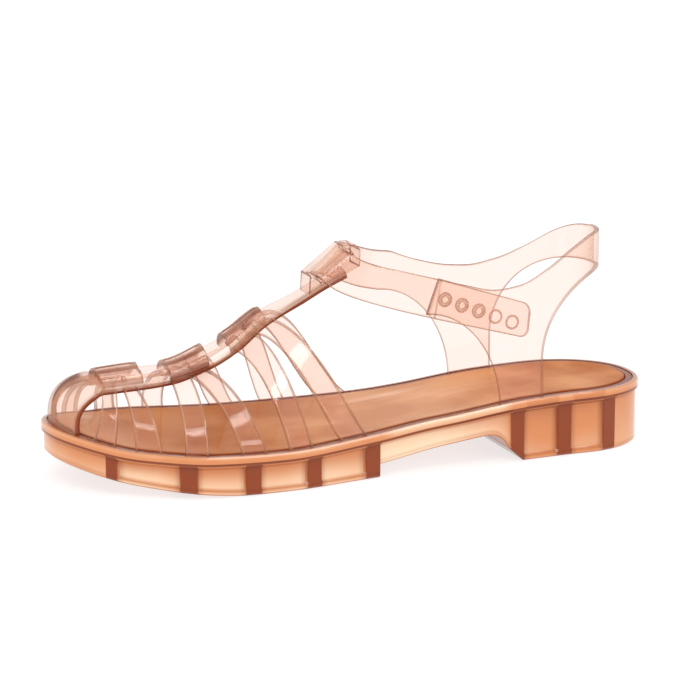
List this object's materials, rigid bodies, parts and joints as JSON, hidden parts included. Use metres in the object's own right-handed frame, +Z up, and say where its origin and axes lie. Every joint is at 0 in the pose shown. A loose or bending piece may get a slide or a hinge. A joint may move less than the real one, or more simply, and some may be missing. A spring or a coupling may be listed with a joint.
{
  "type": "jelly sandal",
  "caption": "Moulded jelly sandal with a caged toe, a centre bar to a keeper, an ankle strap with pegs and holes, and a ribbed sole with a low heel.",
  "frame": {"origin": "on the floor under the middle of the sandal's bounding box", "axes": "+X towards the heel, so the toe points to -X; +Y towards the inner side of the foot; +Z up; the sandal stands on its sole"},
  "size_m": [0.255, 0.0937, 0.09],
  "materials": {
    "sole_jelly": "gloss",
    "footbed_jelly": "gloss",
    "upper_jelly": "gloss"
  },
  "bodies": {
    "root": {"outsole": "sole_jelly", "insole": "footbed_jelly", "upper": "upper_jelly", "ankle_strap": "upper_jelly"}
  },
  "joints": []
}
